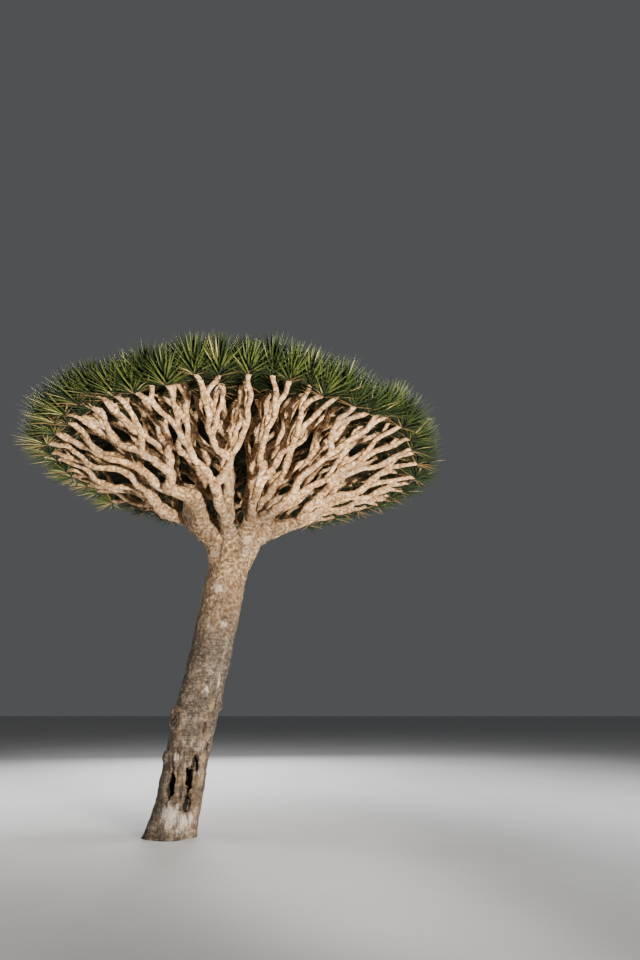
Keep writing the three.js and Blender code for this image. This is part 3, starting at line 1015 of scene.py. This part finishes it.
def group_numbers(points):
    """The number of the group that each point belongs to, with the trunk last."""
    x = points[:, 0] - FORK[0]
    x = np.where(x < 0, x / REACH_LEFT, x / REACH_RIGHT)
    turned = np.degrees(np.arctan2(points[:, 1] / REACH_DEPTH, x))
    groups = np.full(len(points), -1)
    for number, sectors in enumerate(BOUGH_GROUPS.values()):
        for sector, low, high, _, _ in MAIN_BOUGHS:
            if sector in sectors:
                groups[(turned - low) % 360 < high - low] = number
    apart = np.hypot(points[:, 0] - FORK[0], points[:, 1])
    in_head = (points[:, 2] < TRUNK_HEAD) & (apart < TRUNK_HEAD_REACH)
    groups[in_head | (points[:, 2] < TRUNK_ALONE)] = len(BOUGH_GROUPS)
    return groups


def warmth_of(points):
    """0 where the bark is the old trunk's grey one and 1 where it is the limbs' warm one."""
    out = np.linalg.norm(points - FORK, axis=1)
    on_limbs = ease(out, *LIMBS_WARMER) * (points[:, 2] > LIMB_WARMTH_HEIGHT)
    return np.maximum(TRUNK_WARMTH * ease(points[:, 2], *TRUNK_WARMER), on_limbs)


def in_hollow(points):
    """1 round a hollow's middle, and above 0 as far as just outside its edge. Marks rot and painted shade."""
    share = np.zeros(len(points))
    for degrees, height, across, tall, deep in HOLLOWS:
        middle, out, along = on_trunk(degrees, height)
        away = points - middle
        outwards = away @ out / deep
        outwards = np.where(outwards < 0, outwards * HOLLOW_INWARDS, outwards)
        parts = [outwards, away @ along * 2 / across, away[:, 2] * 2 / tall]
        inside = HOLLOW_DARK - np.sqrt(sum(part**2 for part in parts))
        share = np.maximum(share, np.clip(inside, 0, 1))
    return share


def spot_share(points, spots):
    """1 at the middle of a spot, and 0 outside them all."""
    share = [nearness(points, spot, SPOT_EDGE) for spot in spots]
    return np.clip(np.max(share, axis=0), 0, 1)


def set_masks(mesh, shares):
    """Keeps a share for each mask at a mesh's points, where the bark's material reads it."""
    for name in MASKS:
        attribute = mesh.attributes.new(name, "FLOAT", "POINT")
        attribute.data.foreach_set("value", shares[name].astype(np.float32))


def add_wood():
    points, normals, faces = wood_skin()
    groups = group_numbers(points[faces].mean(axis=1))
    shares = {
        "warmth": warmth_of(points),
        "rot_and_painted_shade": in_hollow(points),
        "sunk_dark_patches": spot_share(points, [ROT, BURLS[0]]),
        "lichen": spot_share(points, LICHEN_SPOTS),
        "ochre": spot_share(points, OCHRE_SPOTS),
    }
    for number, name in enumerate([*BOUGH_GROUPS, "trunk_bark"]):
        chosen = faces[groups == number]
        used, corners = np.unique(chosen, return_inverse=True)
        mesh = mesh_of(name, points[used], corners.reshape(-1, 4), np.zeros(len(chosen)))
        set_masks(mesh, {mask: share[used] for mask, share in shares.items()})
        nodes = ["trunk"] if name == "trunk_bark" else nodes_of("bough", BOUGH_GROUPS[name])
        made = piece(mesh, [BARK], nodes, smooth=True)
        made.data.normals_split_custom_set_from_vertices(normals[used])


TWIG_SIDES = 8
# How much the last two rings of a twig swell under its rosette
TIP_SWELL = [1.12, 1.3]


def add_twigs():
    for sector in SECTORS:
        twigs = Shape()
        for limb in limbs:
            if limb.sector == sector and limb.tufts < FUSED_TUFTS:
                radii = limb.radii.copy()
                if limb.tufts <= LAST_TUFTS:
                    radii[-2:] *= TIP_SWELL
                twigs.add(*tube(limb.line, radii, TWIG_SIDES))
        mesh = twigs.mesh(f"twigs_{sector}")
        shares = {mask: np.zeros(twigs.count) for mask in MASKS}
        shares["warmth"] = np.ones(twigs.count)
        set_masks(mesh, shares)
        piece(mesh, [BARK], nodes_of("foliage", [sector]), smooth=True)


# Leaves of one rosette, and where their random numbers start
LEAVES = 185
LEAF_SEED = 7
LEAF_LENGTH = 0.42
LEAF_WIDTH = 0.021
LEAF_FOLD = 0.006
# Where along the leaf its two rings of points are, and how wide it is there
LEAF_STATIONS = [0, 0.45]
LEAF_WIDTHS = [0.8, 1]
LEAF_DROOP = 0.05
STEEPEST_LEAF = 3
FLATTEST_LEAF = 84
LEAN_POWER = 0.9
# Rosettes inside the crown keep some old leaves that hang lower
INNER_ROSETTE = 0.9
OLD_LEAF = 104
# The age of the longest leaves, from 0 to 1, and how much shorter the others are
LONGEST_AGE = 0.4
AGE_SHORTENS = 0.9
# Chance shortens each leaf and each whole rosette, to this share and up to LENGTH_RANGE more
LEAST_LENGTH = 0.88
LENGTH_RANGE = 0.2
# The youngest leaves are rooted this far above the limb's end and the oldest LEAF_ROOTS below them, all at
# LEAF_ROOT_RADIUS from the axis
LEAF_ROOT_TOP = 0.02
LEAF_ROOTS = 0.07
LEAF_ROOT_RADIUS = 0.014
# Triangles between a leaf's points: an edge, the fold and the other edge at both stations, and the tip
LEAF_FACES = np.array([(0, 1, 4), (0, 4, 3), (1, 2, 5), (1, 5, 4), (3, 4, 6), (4, 5, 6)])
LEAF_POINTS = 7

# From the crown's left to its right, rosettes of painted light get fewer and leaves of painted shade more, by
# a share for a metre
PAINTED_LIGHT_SHARE = 0.6
PAINTED_LIGHT_FALL = 0.19
PAINTED_SHADE_SHARE = 0.38
PAINTED_SHADE_RISE = 0.08
# The rosettes of the left rim, where x is below the last number here, have more yellow leaves than the
# others, as painted light
YELLOW_AGE = 0.15
YELLOW_SHARE = 0.07
PAINTED_LIGHT_YELLOW_SHARE = 0.34
PAINTED_LIGHT_YELLOW_SIDE = -1.0
# Leaves older than this get painted shade, in the crown's middle and at its rim
PAINTED_SHADE_AGES = (0.45, 0.93)
PAINTED_SHADE_AGE_POWER = 4
DRY_AGE = 0.93
DRY_SHARE = 0.25


def leaf_points(rosette, number, age, random):
    """The points of a rosette's leaves, which turn by the golden angle and lean further out with age."""
    axis = rosette.axis
    side = unit(np.cross(axis, UP))
    front = np.cross(axis, side)
    lowest = OLD_LEAF if rosette.out < INNER_ROSETTE else FLATTEST_LEAF
    lean = np.radians(mix(STEEPEST_LEAF, lowest, age**LEAN_POWER))[:, None]
    turn = (number * GOLDEN_TURN + TURN * chance(rosette.key, FIRST_LEAF))[:, None]
    spread = side * np.cos(turn) + front * np.sin(turn)
    aim = axis * np.cos(lean) + spread * np.sin(lean)
    across = np.cross(axis, spread)
    under = np.cross(aim, across)
    length = LEAF_LENGTH * (1 - AGE_SHORTENS * (age - LONGEST_AGE) ** 2)
    length = length * (LEAST_LENGTH + LENGTH_RANGE * random.random(LEAVES))
    length *= LEAST_LENGTH + LENGTH_RANGE * chance(rosette.key, ROSETTE_SIZE)
    root = rosette.end + axis * (LEAF_ROOT_TOP - LEAF_ROOTS * age[:, None]) + spread * LEAF_ROOT_RADIUS
    points = []
    for station, width in zip(LEAF_STATIONS, LEAF_WIDTHS):
        middle = root + aim * (station * length)[:, None]
        half = LEAF_WIDTH * width / 2
        points += [middle - across * half, middle + under * LEAF_FOLD, middle + across * half]
    drop = (LEAF_DROOP * length * np.sin(lean[:, 0]))[:, None]
    points.append(root + aim * length[:, None] - UP * drop)
    return np.stack(points, axis=1).reshape(-1, 3)


def leaf_tones(rosette, age, random):
    """The number of each leaf's material."""
    rightwards = rosette.end[0] - FORK[0]
    # Painted light: light rosettes are likelier towards the crown's left
    light = PAINTED_LIGHT_SHARE - PAINTED_LIGHT_FALL * rightwards
    looks = np.full(LEAVES, PAINTED_LIGHT_LEAF if chance(rosette.key, LIGHTNESS) < light else FRESH)
    # More yellow leaves on the left rim, as painted light
    yellow = PAINTED_LIGHT_YELLOW_SHARE if rosette.end[0] < PAINTED_LIGHT_YELLOW_SIDE else YELLOW_SHARE
    looks[(age > YELLOW_AGE) & (random.random(LEAVES) < yellow * rosette.out)] = YELLOW
    # Painted shade: dark leaves dealt among the others, more towards the right, and on the old leaves
    looks[random.random(LEAVES) < PAINTED_SHADE_SHARE + PAINTED_SHADE_RISE * rightwards] = PAINTED_SHADE_LEAF
    looks[age > mix(*PAINTED_SHADE_AGES, rosette.out**PAINTED_SHADE_AGE_POWER)] = PAINTED_SHADE_LEAF
    looks[(age > DRY_AGE) & (random.random(LEAVES) < DRY_SHARE)] = DRY
    return looks


def rosette_leaves(rosette, random):
    """Points, faces and materials of one rosette's leaves. The middle ones are young, the outer ones old."""
    number = np.arange(LEAVES)
    age = (number + random.random(LEAVES)) / LEAVES
    points = leaf_points(rosette, number, age, random)
    faces = (LEAF_FACES[None] + number[:, None, None] * LEAF_POINTS).reshape(-1, 3)
    return points, faces, np.repeat(leaf_tones(rosette, age, random), len(LEAF_FACES))


def add_leaves():
    random = np.random.default_rng(LEAF_SEED)
    for sector in SECTORS:
        leaves = Shape()
        for rosette in rosettes:
            if rosette.sector == sector:
                leaves.add(*rosette_leaves(rosette, random))
        mesh = leaves.mesh(f"leaves_{sector}")
        piece(mesh, LEAF_LOOKS, nodes_of("foliage", [sector]), smooth=False)


# Stage, light and camera

FLOOR_REACH = 60
FLOOR_TONES = ((0.55, 0.55, 0.55), (0.6, 0.6, 0.6))
FLOOR_ROUGHNESS = 0.9
KEY_COLOUR = (1, 0.94, 0.85)
KEY_BLEND = 0.6
STUDIO_COLOUR = (0.62, 0.63, 0.65, 1)
STUDIO_STRENGTH = 0.14
CAMERA_PLACE = (1.723, -8.45, 1.5)
CAMERA_TILT = 109
CAMERA_LENS = 24
CAMERA_SENSOR = 36


def add_stage():
    floor = Shape()
    corners = np.array([(-1, -1, 0), (1, -1, 0), (1, 1, 0), (-1, 1, 0)], float)
    floor.add(corners * FLOOR_REACH, np.array([(0, 1, 2), (0, 2, 3)]))
    ground = object_of(floor.mesh("floor"))
    look = Look("pale floor")
    tint = look.ramp(look.noise(scale=0.6, detail=3), (0.3, FLOOR_TONES[0]), (0.7, FLOOR_TONES[1]))
    look.join(look.shader.inputs["Base Color"], tint)
    look.shader.inputs["Roughness"].default_value = FLOOR_ROUGHNESS
    ground.data.materials.append(look.material)


def add_light(name, place, target, data):
    lamp = bpy.data.objects.new(name, data)
    lamp.location = place
    lamp.rotation_euler = (Vector(target) - Vector(place)).to_track_quat("-Z", "Y").to_euler()
    bpy.context.scene.collection.objects.link(lamp)


def add_key(place, target, radius, cone, power):
    data = bpy.data.lights.new("key", "SPOT")
    data.shadow_soft_size = radius
    data.spot_size = math.radians(cone)
    data.spot_blend = KEY_BLEND
    data.energy = power
    data.color = KEY_COLOUR
    add_light("key", place, target, data)


def add_panel(name, place, target, size, power):
    data = bpy.data.lights.new(name, "AREA")
    data.shape = "DISK"
    data.size = size
    data.energy = power
    add_light(name, place, target, data)


def add_lights():
    """A warm low key from the right, as in the photo, a weak fill, and panels that show the other sides."""
    add_key(place=(5.1, -7.3, 0.9), target=(0.3, 0, 3.6), radius=0.35, cone=62, power=12500)
    add_panel("fill", place=(-4, -8, 2.5), target=(0.5, 0, 4), size=4, power=80)
    add_panel("top", place=(-1, 3, 11), target=(0.5, 0.5, 4.5), size=6, power=1100)
    add_panel("back", place=(-1, 10, 5.5), target=(0.5, 0, 3), size=5, power=1000)
    add_panel("left", place=(-10, 2, 5), target=(0.5, 0, 3), size=5, power=550)
    add_panel("right", place=(10, 1, 6), target=(0.5, 0, 3.5), size=5, power=650)
    world = bpy.data.worlds.new("studio")
    world.use_nodes = True
    background = world.node_tree.nodes["Background"]
    background.inputs["Color"].default_value = STUDIO_COLOUR
    background.inputs["Strength"].default_value = STUDIO_STRENGTH
    bpy.context.scene.world = world


def add_camera():
    data = bpy.data.cameras.new("camera")
    data.lens = CAMERA_LENS
    data.sensor_width = CAMERA_SENSOR
    camera = bpy.data.objects.new("camera", data)
    camera.location = CAMERA_PLACE
    camera.rotation_euler = (math.radians(CAMERA_TILT), 0, 0)
    bpy.context.scene.collection.objects.link(camera)
    bpy.context.scene.camera = camera


grow_crown()
add_wood()
add_twigs()
add_leaves()
add_stage()
add_lights()
add_camera()
